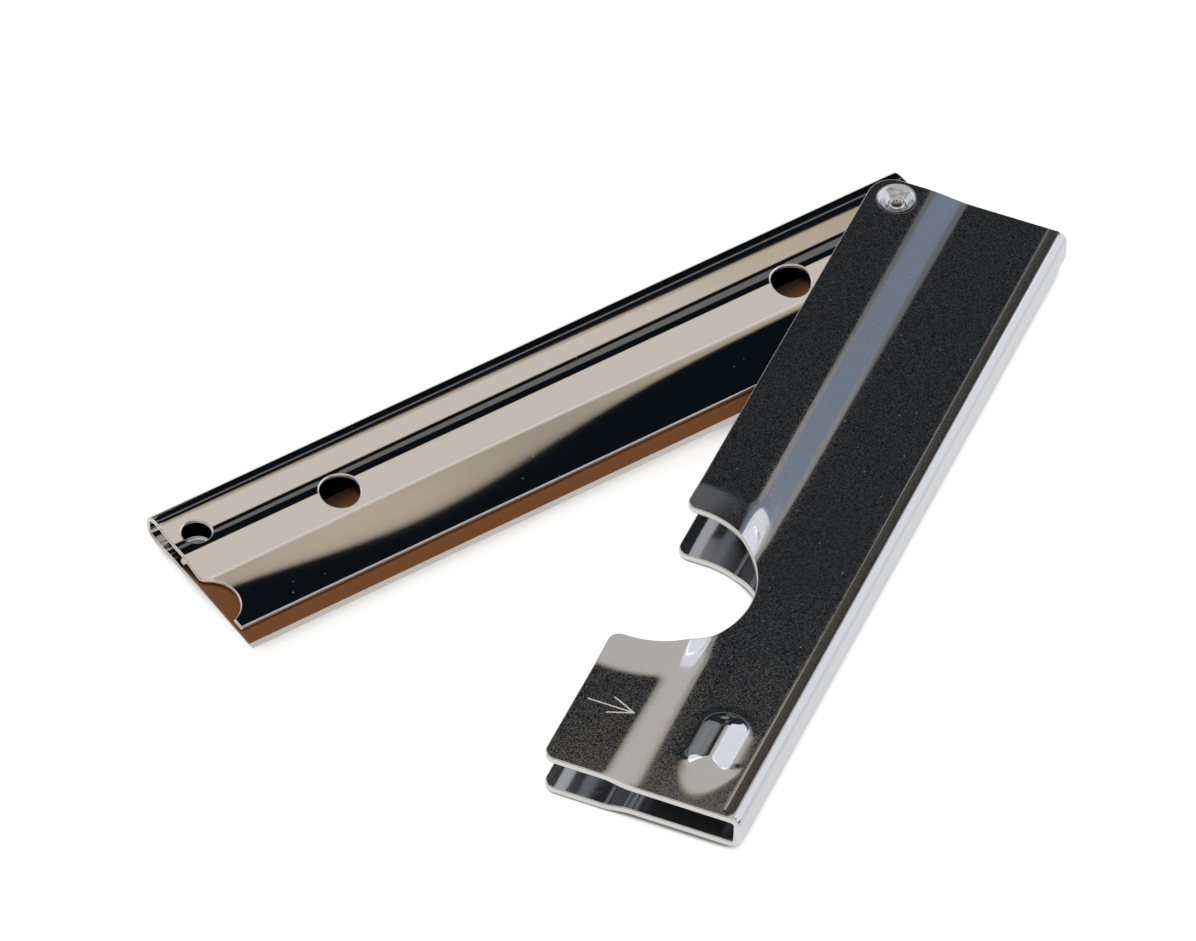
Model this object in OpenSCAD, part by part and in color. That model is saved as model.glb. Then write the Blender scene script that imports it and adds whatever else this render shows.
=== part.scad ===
// Folding sheet steel window scraper with a slide-in blade.
// Millimetres, +Z up. The origin lies on the cover's rest face, at mid-length of the cover
// and on the pivot's line. +X runs from the pivot end to the open end of the cover,
// +Y runs towards the cover's closed wall, and the hinge axis is parallel to Z.

/* [Cover] */
// Length of the cover
cover_len = 97; // [94:0.5:110]
// Width of the cover, from the open edge to the outside of the wall
cover_w = 23; // [22:0.5:30]
// Thickness of the cover sheet
cover_sheet = 0.8; // [0.6:0.05:1]
// Outward step of each cover sheet along the open side
joggle_step = 0.5; // [0.2:0.05:0.8]
// Distance from the open edge to the start of the step
joggle_start = 7.7; // [7.6:0.1:8.2]
// Width of the step's sloping flank
joggle_w = 2.3; // [2:0.1:2.6]
// Reach of the bends at the top and the foot of the step
joggle_bend = 0.6; // [0.2:0.05:0.9]
// Inside radius of the two bends at the wall
wall_bend_r = 0.25; // [0.1:0.05:0.6]
// Corner radius of the sheets at the pivot
pivot_corner_r = 2.9; // [1:0.1:3.2]
// Corner radius of the sheets at the open end
end_corner_r = 1.4; // [0.5:0.1:3]

/* [Coined bend line] */
// Width of the coined line beside each wall bend
coin_w = 0.9; // [0.5:0.1:1.5]
// Depth of the coined line
coin_depth = 0.06; // [0.02:0.01:0.15]
// Distance from the wall bend to the coined line
coin_gap = 0.1; // [0.05:0.05:1]
// Plain length left at the open end
coin_end = 0.8; // [0.2:0.1:3]

/* [Finger notch] */
// Distance from the pivot to the middle of the notch in the upper sheet
notch_pos = 64.3; // [45:0.1:70]
// Width of the notch
notch_w = 20.4; // [16:0.2:24]
// Depth of the notch in the upper sheet, from the open edge
notch_depth = 11.9; // [11:0.1:14]
// Distance that the notch in the lower sheet lies further from the pivot
low_notch_shift = 2.5; // [0:0.1:3]
// Depth that the notch in the lower sheet reaches further from the open edge
low_notch_deeper = 1.7; // [0:0.1:2]
// Corner radius where the notch meets the open edge
notch_corner_r = 1.3; // [0.5:0.1:1.6]

/* [Oval bump] */
// Length of the bump
bump_len = 12.6; // [11:0.2:13]
// Width of the bump
bump_w = 5; // [4:0.2:6]
// Height of the bump above the sheet
bump_h = 0.9; // [0.5:0.05:1.2]
// Length of the ramp at the bump's end towards the open end
bump_ramp = 6; // [3:0.2:7]
// Distance from the open end of the cover to the middle of the bump
bump_end = 7.8; // [7:0.2:10]
// Distance from the outside of the wall to the middle of the bump
bump_wall = 6.5; // [5.5:0.1:8]

/* [Pivot] */
// Distance from the pivot to the cover's end
pivot_end = 2.9; // [2.5:0.1:5]
// Distance from the pivot to the cover's open edge
pivot_edge = 3.45; // [3.2:0.05:3.8]
// Rim radius of the pressed bowls
bowl_r = 2; // [1.8:0.05:2.4]
// Depth of the pressed bowls
bowl_depth = 0.9; // [0.7:0.05:1]
// Radial play of the pressed necks in the holder's holes
neck_play = 0.06; // [0.02:0.01:0.1]
// Radius of the rivet's barrel
rivet_r = 0.6; // [0.5:0.05:0.75]
// Radius of the rivet's hollow
rivet_bore_r = 0.35; // [0.2:0.05:0.4]
// Radius of the rivet's heads
rivet_head_r = 0.95; // [0.85:0.05:1]
// Thickness of the rivet's heads
rivet_head_t = 0.25; // [0.15:0.05:0.4]
// Play of the rivet in the bowls
rivet_play = 0.02; // [0.01:0.01:0.05]
// Opening angle of the holder from the closed position, in degrees
open_angle = 33.5; // [20:0.5:150]

/* [Holder] */
// Length of the holder
holder_len = 99.6; // [96:0.2:110]
// Thickness of the holder over its spine
holder_t = 3.44; // [3.2:0.02:3.6]
// Thickness of the holder sheet
holder_sheet = 0.5; // [0.4:0.02:0.6]
// Distance from the spine to the lips
lip_pos = 19.6; // [17:0.1:21]
// Play between the holder's faces and the cover's sheets
side_play = 0.2; // [0.1:0.02:0.3]
// Flat left between the spine bend and the falling strip
strip_flat = 0.9; // [0.6:0.05:1.2]
// Reach of the bend where the strip starts to fall
strip_bend = 0.55; // [0.1:0.05:0.6]
// Distance from the spine to the valley
valley_pos = 5.8; // [5.2:0.05:6.2]
// Fall from the spine to the valley
valley_drop = 0.28; // [0.1:0.02:0.36]
// Reach of the bend in the valley
valley_bend = 0.4; // [0.05:0.05:0.4]
// Distance from the valley to the ridge
ridge_run = 1.1; // [0.9:0.05:1.4]
// Rise from the valley to the ridge
ridge_rise = 0.15; // [0.05:0.01:0.24]
// Width of the ridge's flat top
ridge_w = 0.9; // [0.7:0.05:1.2]
// Reach of the bends on both sides of the ridge
ridge_bend = 0.3; // [0.1:0.05:0.34]
// Distance from the spine to the foot of the slope
foot_pos = 11.4; // [10.8:0.1:12.4]
// Reach of the bend at the foot of the slope
foot_bend = 0.4; // [0.1:0.05:0.8]

/* [Holder holes] */
// Radius of the end holes, one of which is the pivot
hole_r = 1.65; // [1.5:0.05:1.8]
// Distance from the end holes to the holder's ends
hole_end = 3.2; // [3:0.1:3.6]
// Distance from the end holes to the spine
hole_spine = 5.4; // [5.2:0.05:5.5]
// Radius of the two windows
window_r = 2.25; // [1.5:0.05:2.4]
// Distance between the windows
window_pitch = 60; // [30:1:76]
// Distance from the windows to the spine
window_spine = 8.5; // [8:0.1:9]
// Radius of the thumb notch in the upper lip
thumb_r = 3.6; // [2.5:0.1:4.2]
// Depth of the thumb notch
thumb_depth = 2.3; // [1:0.1:2.4]
// Distance from the lip to the middle of the thumb notch
thumb_lip = 4.9; // [4.4:0.1:6]

/* [Blade] */
// Length of the blade
blade_len = 100; // [96:0.5:110]
// Width of the blade
blade_w = 14.5; // [12:0.1:14.8]
// Thickness of the blade
blade_t = 0.3; // [0.2:0.02:0.4]
// Reach of the cutting edge past the lips
blade_reach = 2.7; // [1.5:0.1:3]
// Width of the ground bevels
bevel_w = 0.65; // [0.5:0.05:1.4]
// Flat left on the cutting edge
edge_land = 0.02; // [0.01:0.01:0.05]
// Play of the blade between the clamping flats, each side
blade_play = 0.03; // [0.01:0.01:0.05]

/* [Hidden] */
$fn = 96;

// Reach of cuts past the faces that they open
past = 1;

// Cover heights, measured from the middle plane between the two sheets
slot_half = holder_t / 2 + side_play;
strip_top = slot_half + cover_sheet;
flat_top = strip_top - joggle_step;
flat_inside = flat_top - cover_sheet;
mid_z = strip_top;

// Cover places in the plan
pivot_x = pivot_end - cover_len / 2;
open_y = -pivot_edge;
wall_y = cover_w - pivot_edge;
wall_out_r = wall_bend_r + cover_sheet;
wall_bend_y = wall_y - wall_out_r;
wall_bend_z = flat_top - wall_out_r;

// Outer face of the cover's upper sheet, from the open edge to the wall bend
cover_knots = [
    [open_y, strip_top],
    [open_y + joggle_start, strip_top],
    [open_y + joggle_start + joggle_w, flat_top],
    [wall_bend_y, flat_top]
];
cover_bends = [joggle_bend, joggle_bend];

// Finger notch
notch_x = pivot_x + notch_pos;
notch_r = notch_w / 2;
notch_straight = notch_depth - notch_r;

// Oval bump
bump_x = cover_len / 2 - bump_end;
bump_run = bump_len - bump_w / 2 - bump_ramp;
bump_y = wall_y - bump_wall;
bump_r = (bump_w * bump_w / 4 + bump_h * bump_h) / (2 * bump_h);
bump_z = flat_top + bump_h - bump_r;

// Pivot bowls and rivet
bowl_floor = strip_top - bowl_depth;
bowl_floor_r = rivet_head_r + rivet_play;
neck_r = hole_r - neck_play;
neck_tip = slot_half - bowl_depth;
neck_chamfer = bowl_depth / 3;

// Holder and blade places, measured from the pivot along and across the holder
spine_y = -hole_spine;
lip_y = spine_y + lip_pos;
holder_x = -hole_end;
holder_mid = holder_x + holder_len / 2;
free_x = holder_x + holder_len;
far_hole_x = free_x - hole_end;
window_y = spine_y + window_spine;
thumb_x = free_x + thumb_r - thumb_depth;
thumb_y = lip_y - thumb_lip;
edge_y = lip_y + blade_reach;

// Outer face of the holder's upper sheet, from the spine bend to the lip
spine_r = holder_t / 2;
spine_bend_y = spine_y + spine_r;
valley_z = spine_r - valley_drop;
ridge_z = valley_z + ridge_rise;
clamp_z = blade_t / 2 + blade_play + holder_sheet;
valley_y = spine_y + valley_pos;
holder_knots = [
    [spine_bend_y, spine_r],
    [spine_bend_y + strip_flat, spine_r],
    [valley_y, valley_z],
    [valley_y + ridge_run, ridge_z],
    [valley_y + ridge_run + ridge_w, ridge_z],
    [spine_y + foot_pos, clamp_z],
    [lip_y, clamp_z]
];
holder_bends = [strip_bend, valley_bend, ridge_bend, ridge_bend, foot_bend];

// Steps in each eased bend and round the spine
bend_steps = 8;
spine_steps = 24;

// Direction from one knot to the next
function unit(v) = v / norm(v);

// Eased bend at a knot, between the straight runs that lead to it and away from it
function bend_points(before, knot, after, reach) =
    let (
        start = knot + reach * unit(before - knot),
        end = knot + reach * unit(after - knot)
    )
    [for (i = [0 : bend_steps])
        let (k = i / bend_steps)
        (1 - k) * (1 - k) * start + 2 * k * (1 - k) * knot + k * k * end];

// Outer face of a bent sheet: straight runs between knots, with an eased bend at each
function face_points(knots, reaches) = [
    knots[0],
    for (i = [1 : len(knots) - 2])
        each bend_points(knots[i - 1], knots[i], knots[i + 1], reaches[i - 1]),
    knots[len(knots) - 1]
];

// Points in the opposite order
function backwards(points) = [for (i = [len(points) - 1 : -1 : 0]) points[i]];

// Section of a bent sheet below its outer face
module sheet_section(knots, reaches, sheet) {
    face = face_points(knots, reaches);
    inside = [for (point = face) point - [0, sheet]];
    polygon(concat(face, backwards(inside)));
}

// Draws a section in Y and Z and runs it along X
module along_x(from, run) {
    translate([from, 0, 0])
    rotate([90, 0, 90])
    linear_extrude(run)
    children();
}

// Repeats a form on both sheets, mirrored about the middle plane
module both_sheets() {
    children();
    mirror([0, 0, 1])
    children();
}

// Plain corner that a rounding takes away, with its tip at the origin
module corner_waste(r) {
    difference() {
        translate([-past, -past])
        square(r + past);
        translate([r, r])
        circle(r);
    }
}

// Outline of the cover in the plan, with its rounded corners
module cover_plan() {
    difference() {
        translate([-cover_len / 2, open_y - past])
        square([cover_len, cover_w + 2 * past]);
        translate([-cover_len / 2, open_y])
        corner_waste(pivot_corner_r);
        translate([cover_len / 2, open_y])
        mirror([1, 0])
        corner_waste(end_corner_r);
    }
}

// Waste of the finger notch in the upper sheet, which reaches down to the middle plane
module notch(shift, deeper) {
    translate([notch_x + shift, open_y, 0])
    linear_extrude(strip_top + past) {
        translate([0, notch_straight + deeper])
        circle(notch_r);
        translate([-notch_r, -past])
        square([notch_w, notch_straight + deeper + past]);
        for (side = [0, 1])
            mirror([side, 0])
            translate([notch_r, 0])
            corner_waste(notch_corner_r);
    }
}

// Capsule that the bump is part of: a round end, a straight run and a long ramp
module bump_capsule(r) {
    fall = bump_h / bump_ramp;
    translate([bump_x - bump_len / 2 + bump_w / 2, bump_y, bump_z]) {
        sphere(r);
        rotate([0, 90, 0])
        cylinder(h = bump_run, r = r);
        translate([bump_run, 0, 0])
        rotate([0, 90, 0])
        cylinder(h = bump_ramp + past, r1 = r, r2 = r - fall * (bump_ramp + past));
    }
}

// Block from a height upwards, over the bump
module above_bump(z) {
    translate([bump_x - bump_len, bump_y - bump_w, z])
    cube([2 * bump_len, 2 * bump_w, bump_r]);
}

// Pressed neck of one pivot bowl, before the bowl is hollowed out
module neck() {
    translate([pivot_x, 0, neck_tip + neck_chamfer])
    cylinder(h = strip_top - cover_sheet / 2 - neck_tip - neck_chamfer, r = neck_r);
    translate([pivot_x, 0, neck_tip])
    cylinder(h = neck_chamfer, r1 = neck_r - neck_chamfer, r2 = neck_r);
}

// Hollow of one pivot bowl
module bowl() {
    slope = (bowl_r - bowl_floor_r) / bowl_depth;
    translate([pivot_x, 0, bowl_floor])
    cylinder(h = bowl_depth + past, r1 = bowl_floor_r, r2 = bowl_r + slope * past);
}

// Coined line beside one wall bend
module coined_line() {
    line_y = wall_y - cover_sheet - wall_bend_r - coin_gap - coin_w;
    translate([-cover_len / 2 - past, line_y, flat_top - coin_depth])
    cube([cover_len + past - coin_end, coin_w, coin_depth + past]);
}

// Cover: one sheet folded to a channel, pressed and notched, which is the handle too
module cover() {
    color("silver")
    translate([0, 0, mid_z])
    difference() {
        union() {
            intersection() {
                along_x(-cover_len / 2 - past, cover_len + 2 * past)
                cover_section();
                translate([0, 0, -strip_top - past])
                linear_extrude(2 * (strip_top + past))
                cover_plan();
            }
            intersection() {
                bump_capsule(bump_r);
                above_bump(flat_top - cover_sheet / 2);
            }
            both_sheets()
            neck();
        }
        intersection() {
            bump_capsule(bump_r - cover_sheet);
            above_bump(flat_inside - past);
        }
        both_sheets()
        bowl();
        both_sheets()
        coined_line();
        notch(0, 0);
        mirror([0, 0, 1])
        notch(low_notch_shift, low_notch_deeper);
        translate([pivot_x, 0, -strip_top])
        cylinder(h = 2 * strip_top, r = rivet_r + rivet_play);
    }
}

// Half section of the cover: a stepped sheet that bends into the wall
module cover_half() {
    sheet_section(cover_knots, cover_bends, cover_sheet);
    translate([wall_bend_y, wall_bend_z])
    intersection() {
        difference() {
            circle(wall_out_r);
            circle(wall_bend_r);
        }
        square(wall_out_r);
    }
    translate([wall_y - cover_sheet, 0])
    square([cover_sheet, wall_bend_z]);
}

// Section of the whole cover, from open edge to open edge round the wall
module cover_section() {
    cover_half();
    mirror([0, 1])
    cover_half();
}

// Rivet: hollow, with a head clinched in each bowl
module rivet() {
    color("gainsboro")
    translate([pivot_x, 0, mid_z])
    difference() {
        union() {
            translate([0, 0, -bowl_floor])
            cylinder(h = 2 * bowl_floor, r = rivet_r);
            both_sheets()
            translate([0, 0, bowl_floor])
            cylinder(h = rivet_head_t, r = rivet_head_r);
        }
        translate([0, 0, -bowl_floor - rivet_head_t - past])
        cylinder(h = 2 * (bowl_floor + rivet_head_t + past), r = rivet_bore_r);
    }
}

// Moves a piece from the closed pivot position to the opened holder
module on_holder() {
    translate([pivot_x, 0, mid_z])
    rotate(-open_angle)
    children();
}

// Points round the spine bend, from its upper face to its lower one
function spine_points(r) = [
    for (i = [1 : spine_steps - 1])
        let (turn = 90 + 180 * i / spine_steps)
        [spine_bend_y + r * cos(turn), r * sin(turn)]
];

// Path at a depth below the holder's outer face, from the upper lip round the spine to the lower lip
function holder_path(depth) =
    let (upper = [for (point = face_points(holder_knots, holder_bends)) point - [0, depth]])
    concat(
        backwards(upper),
        spine_points(spine_r - depth),
        [for (point = upper) [point[0], -point[1]]]
    );

// Section of the whole holder
module holder_section() {
    polygon(concat(holder_path(0), backwards(holder_path(holder_sheet))));
}

// Holder: one sheet folded at the spine, whose lips clamp the blade
module holder() {
    color("lightgray")
    on_holder()
    difference() {
        along_x(holder_x, holder_len)
        holder_section();
        for (x = [0, far_hole_x])
            translate([x, 0, -holder_t])
            cylinder(h = 2 * holder_t, r = hole_r);
        for (side = [-1, 1])
            translate([holder_mid + side * window_pitch / 2, window_y, 0])
            cylinder(h = holder_t, r = window_r);
        translate([thumb_x, thumb_y, 0])
        cylinder(h = holder_t, r = thumb_r);
    }
}

// Blade: tempered strip with two ground bevels
module blade() {
    color("sienna")
    on_holder()
    along_x(holder_mid - blade_len / 2, blade_len)
    polygon([
        [edge_y - blade_w, -blade_t / 2],
        [edge_y - bevel_w, -blade_t / 2],
        [edge_y, -edge_land / 2],
        [edge_y, edge_land / 2],
        [edge_y - bevel_w, blade_t / 2],
        [edge_y - blade_w, blade_t / 2]
    ]);
}

cover();
rivet();
holder();
blade();
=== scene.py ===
import math

import bpy
import numpy as np
from mathutils import Matrix, Vector
from mathutils.geometry import delaunay_2d_cdt


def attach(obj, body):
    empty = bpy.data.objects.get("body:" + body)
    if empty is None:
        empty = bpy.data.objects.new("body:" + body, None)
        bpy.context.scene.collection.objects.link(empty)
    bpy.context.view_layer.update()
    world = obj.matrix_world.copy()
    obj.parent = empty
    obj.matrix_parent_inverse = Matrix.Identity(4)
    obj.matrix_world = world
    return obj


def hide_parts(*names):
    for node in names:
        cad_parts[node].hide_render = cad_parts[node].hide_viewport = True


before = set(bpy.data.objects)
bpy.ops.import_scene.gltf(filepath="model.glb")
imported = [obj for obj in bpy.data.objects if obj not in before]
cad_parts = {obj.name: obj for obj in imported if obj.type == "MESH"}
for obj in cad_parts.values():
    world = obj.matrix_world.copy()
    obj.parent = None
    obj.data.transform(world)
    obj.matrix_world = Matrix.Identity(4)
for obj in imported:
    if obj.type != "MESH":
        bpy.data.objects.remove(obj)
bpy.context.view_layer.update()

# Cover: one sheet of 0.8 mm steel folded to a channel, bright nickel plated, the handle of the tool.
# Its open side is stepped outward and notched for the fingers, an oval bump stiffens one sheet,
# a coined line runs beside each wall bend, and a bowl is pressed into each sheet at the pivot.
MM = 0.001
COVER_LEN = 97.0
COVER_SHEET = 0.8
OPEN_Y = -3.45
WALL_Y = 19.55
MID_Z = 2.72
STRIP_TOP = 2.72
JOGGLE_STEP = 0.5
JOGGLE_MIDDLE = (8.65, 9.15)
JOGGLE_W = 2.3
JOGGLE_BEND = 0.6
JOGGLE_OUT_W = (3.9, 2.65)
JOGGLE_OUT_BEND = 0.34
JOGGLE_STEEP = (0.42, 0.2)
JOGGLE_STEEP_REACH = (4.3, 1.7)
FLAT_TOP = STRIP_TOP - JOGGLE_STEP
WALL_BEND_R = 0.25
WALL_OUT_R = WALL_BEND_R + COVER_SHEET
WALL_BEND_Y = WALL_Y - WALL_OUT_R
WALL_BEND_Z = FLAT_TOP - WALL_OUT_R
PIVOT_CORNER_R = 2.9
END_CORNER_R = 1.4
PIVOT_X = -45.6
NOTCH_X = 18.7
NOTCH_R = 10.2
NOTCH_S = 1.7
NOTCH_CORNER_R = 1.3
LOW_NOTCH_SHIFT = 2.5
LOW_NOTCH_DEEPER = 1.7
FLARE_TILT = 0.06
FLARE_REACH = 4.7
FLARE_SOFT = 0.25
BUMP_FROM = 37.0
BUMP_TO = 41.9
BUMP_Y = 13.05
BUMP_HALF_W = 2.5
BUMP_H = 0.87
BUMP_ROUND = 0.8
BUMP_STEEP = (1.1, 1.5)
BUMP_SOFT = 0.16
BUMP_BLEND = 3
BUMP_SKIRT = 1.7
BUMP_FIELD = ((32.4, 48.0), (-4.1, 4.1))
FAN_FROM = 40.6
FAN_RUN = 2.2
FAN_TO = 46.4
FAN_TILT = 0.06
FAN_SOFT = 0.34
FAN_CURVE = 0.36
BOWL_R = 2.35
BOWL_FLOOR_R = 0.95
BOWL_DEPTH = 0.9
BOWL_SOFT = 0.25
BOWL_SHOULDER = 1.8
NECK_R = 1.59
NECK_CHAMFER = 0.3
NECK_STEP = 0.02
BORE_R = 0.62
COIN_FROM = 20.95
COIN_TO = 21.85
COIN_DEPTH = 0.012
COIN_EDGE = 0.1
COIN_PLAIN = 0.8
COIN_ROW = 0.02
COVER_EDGE_ROUND = 0.12
FLAT_RUN = WALL_BEND_Y - OPEN_Y
BEND_RUN = math.pi / 2 * (WALL_BEND_R + COVER_SHEET / 2)
WALL_RUN = 2 * WALL_BEND_Z
COVER_RUN = 2 * (FLAT_RUN + BEND_RUN) + WALL_RUN


def arc(cx, cy, r, start, end, step=0.18):
    """Points along a circular arc, both ends included."""
    count = max(4, int(abs(math.radians(end - start)) * r / step))
    turn = np.radians(np.linspace(start, end, count + 1))
    return np.stack([cx + r * np.cos(turn), cy + r * np.sin(turn)], 1)


def ring(cx, cy, r, step=0.14):
    """Points round a full circle."""
    return arc(cx, cy, r, 0, 360, step)[:-1]


def closed_outline(pieces, step=0.5, same=1e-6):
    """One closed loop from runs of points, with long straight edges divided."""
    points = np.concatenate(pieces)
    loop = []
    for here, after in zip(points, np.roll(points, -1, 0)):
        length = np.linalg.norm(after - here)
        if length < same:
            continue
        parts = max(1, int(math.ceil(length / step)))
        loop.extend(here + (after - here) * i / parts for i in range(parts))
    return np.array(loop)


def inset(loop, amount):
    """The loop moved to its left by an amount, which is inwards where it runs anticlockwise."""
    ahead = np.roll(loop, -1, 0) - loop
    ahead /= np.linalg.norm(ahead, axis=1)[:, None]
    along = ahead + np.roll(ahead, 1, 0)
    along /= np.linalg.norm(along, axis=1)[:, None]
    return loop + amount * np.stack([-along[:, 1], along[:, 0]], 1)


def inside(points, loop):
    """Which points lie inside a closed loop."""
    x, y = points[:, 0], points[:, 1]
    found = np.zeros(len(points), bool)
    for (x0, y0), (x1, y1) in zip(loop, np.roll(loop, -1, 0)):
        if y0 == y1:
            continue
        crosses = (y0 > y) != (y1 > y)
        found ^= crosses & (x < x0 + (y - y0) * (x1 - x0) / (y1 - y0))
    return found


def clear_of(points, loop, gap):
    """Which points keep a gap from the points of a loop."""
    near = np.full(len(points), np.inf)
    for corner in loop:
        near = np.minimum(near, np.hypot(points[:, 0] - corner[0], points[:, 1] - corner[1]))
    return near > gap


def eased_path(knots, reaches, steps=48):
    """Points along straight runs that are joined by eased bends."""
    knots = [np.array(knot, float) for knot in knots]
    points = [knots[0]]
    for before, knot, after, reach in zip(knots, knots[1:], knots[2:], reaches):
        start = knot + reach * (before - knot) / np.linalg.norm(before - knot)
        end = knot + reach * (after - knot) / np.linalg.norm(after - knot)
        for k in np.linspace(0, 1, steps):
            points.append((1 - k) ** 2 * start + 2 * k * (1 - k) * knot + k ** 2 * end)
    points.append(knots[-1])
    return np.array(points)


def smooth_step(value):
    """A soft rise from 0 to 1."""
    value = np.clip(value, 0, 1)
    return value * value * (3 - 2 * value)


EDGE_CLEAR = 0.11
ROUND_SHARE = 0.29
SAME_PLACE = 1e-7


def sheet_mesh(name, outline, holes, inner_points, place, sheet, bevel, materials,
               flip=False, kind=None):
    """A closed mesh of a bent sheet: two faces over one flat pattern, with rounded cut edges."""
    loops = [outline, *[hole[::-1] for hole in holes]]
    face_loops = [inset(loop, bevel) for loop in loops]
    keep = inside(inner_points, face_loops[0])
    for loop in face_loops[1:]:
        keep &= ~inside(inner_points, loop)
    points = inner_points[keep]
    for loop in face_loops:
        points = points[clear_of(points, loop, EDGE_CLEAR)]
    flat = np.concatenate([*face_loops, points])
    edges, first = [], 0
    for loop in face_loops:
        count = len(loop)
        edges += [(first + i, first + (i + 1) % count) for i in range(count)]
        first += count
    same, _, cells, *_ = delaunay_2d_cdt([Vector(p) for p in flat], edges, [], 0, SAME_PLACE)
    assert len(same) == len(flat), "the flat pattern changed its points"
    cells = np.array(cells)
    middles = flat[cells].mean(1)
    wanted = inside(middles, face_loops[0])
    for loop in face_loops[1:]:
        wanted &= ~inside(middles, loop)
    below = len(flat)
    vertices = [place(flat, 0.0), place(flat, sheet)]
    faces, slots, sharp = [], [], set()
    for (a, b, c), middle in zip(cells[wanted].tolist(), middles[wanted]):
        a, c = (c, a) if flip else (a, c)
        faces += [(a, b, c), (below + c, below + b, below + a)]
        slots += [kind(middle) if kind else 0, 0]
    base, first = 2 * below, 0
    nip = ROUND_SHARE * bevel
    rounds = [(nip, nip), (0, bevel), (0, sheet - bevel), (nip, sheet - nip)]
    for loop in loops:
        count = len(loop)
        vertices += [place(inset(loop, inwards), depth) for inwards, depth in rounds]
        starts = [first, *[base + k * count for k in range(len(rounds))], below + first]
        for i in range(count):
            j = (i + 1) % count
            for upper, lower in zip(starts, starts[1:]):
                face = (upper + j, upper + i, lower + i, lower + j)
                faces.append(face[::-1] if flip else face)
                slots.append(1)
            sharp |= {tuple(sorted((start + i, start + j))) for start in (starts[0], starts[-1])}
        base += len(rounds) * count
        first += count
    mesh = bpy.data.meshes.new(name)
    mesh.from_pydata(np.concatenate(vertices) * MM, [], faces)
    mesh.polygons.foreach_set("material_index", slots)
    mesh.polygons.foreach_set("use_smooth", [True] * len(faces))
    for edge in mesh.edges:
        if tuple(sorted(edge.vertices)) in sharp:
            edge.use_edge_sharp = True
    for material in materials:
        mesh.materials.append(material)
    mesh.validate()
    piece = bpy.data.objects.new(name, mesh)
    bpy.context.scene.collection.objects.link(piece)
    return piece


def tilted(tilt, inwards, soft):
    """Height of a face that tilts up on the inner side of a line, with a soft bend at the line."""
    return tilt * soft * np.logaddexp(0, inwards / soft)


def notch_gap(x, s):
    """Distance from the finger notch in the plan."""
    beside = np.abs(x - NOTCH_X) - NOTCH_R
    round_end = np.hypot(x - NOTCH_X, s - NOTCH_S) - NOTCH_R
    return np.maximum(np.where(s > NOTCH_S, round_end, beside), 0)


LEVEL_RUN = 9
step_knots = [(-LEVEL_RUN, 0), (0, 0), (1, 1), (LEVEL_RUN, 1)]
inner_step = eased_path(step_knots, [JOGGLE_BEND / JOGGLE_W] * 2)
outer_step = eased_path(step_knots, [JOGGLE_OUT_BEND] * 2)


def joggle(x, s, depth, lower):
    """How far the sheet has stepped in, 0 on the strip and 1 on the flat; steeper by the notch."""
    on_tab = smooth_step((x - NOTCH_X) / NOTCH_R)
    outer_w, steep, reach, middle = [
        pivot_side + (tab_side - pivot_side) * on_tab
        for pivot_side, tab_side in (JOGGLE_OUT_W, JOGGLE_STEEP, JOGGLE_STEEP_REACH, JOGGLE_MIDDLE)]
    outer_w *= 1 - steep * np.exp(-(notch_gap(x, s) / reach) ** 2)
    outer = np.interp((s - middle) / outer_w + 0.5, *outer_step.T)
    inner = np.interp((s - JOGGLE_MIDDLE[0]) / JOGGLE_W + 0.5, *inner_step.T)
    return np.where(lower | (depth > COVER_SHEET / 2), inner, outer)


def bowl(r, depth):
    """Depth of the pressed bowl: a soft dish outside, and a straight neck on the inner face."""
    rim_r = BOWL_R + BOWL_SOFT
    dish = smooth_step((rim_r - r) / (rim_r - BOWL_FLOOR_R)) ** BOWL_SHOULDER
    neck = np.clip((NECK_R + NECK_STEP - r) / (2 * NECK_STEP), 0, 1) * (1 - NECK_CHAMFER / BOWL_DEPTH)
    neck += np.clip((NECK_R - r) / NECK_CHAMFER, 0, 1) * NECK_CHAMFER / BOWL_DEPTH
    return -BOWL_DEPTH * np.where(depth < COVER_SHEET / 2, dish, neck)


def bump(x, y):
    """Height of the oval bump: a rounded roof with steep ends, and a low fan towards the open end."""
    off = BUMP_STEEP[0] * np.maximum(BUMP_FROM - x, 0) + BUMP_STEEP[1] * np.maximum(x - BUMP_TO, 0)
    across = np.hypot(off, y - BUMP_Y)
    fall = np.hypot(across, BUMP_ROUND) - BUMP_ROUND
    cap = BUMP_H * (1 - fall / (math.hypot(BUMP_HALF_W, BUMP_ROUND) - BUMP_ROUND))
    foot = 0.5 * (cap + np.sqrt(cap ** 2 + BUMP_SOFT ** 2))
    roof = foot * smooth_step((BUMP_SKIRT - across / BUMP_HALF_W) / (BUMP_SKIRT - 1))
    fan_end = FAN_TO - FAN_CURVE * (y - BUMP_Y) ** 2
    fan = tilted(FAN_TILT, fan_end - x, FAN_SOFT) * smooth_step((x - FAN_FROM) / FAN_RUN)
    return (roof ** BUMP_BLEND + fan ** BUMP_BLEND) ** (1 / BUMP_BLEND)


def coined(x, s):
    """Depth of the coined line."""
    rise = np.minimum(s - COIN_FROM, COIN_TO - s) / COIN_EDGE
    ends = np.minimum(COVER_LEN / 2 - COIN_PLAIN - x, COVER_LEN) / COIN_EDGE
    return -COIN_DEPTH * np.clip(np.minimum(rise, ends) + 0.5, 0, 1)


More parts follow.
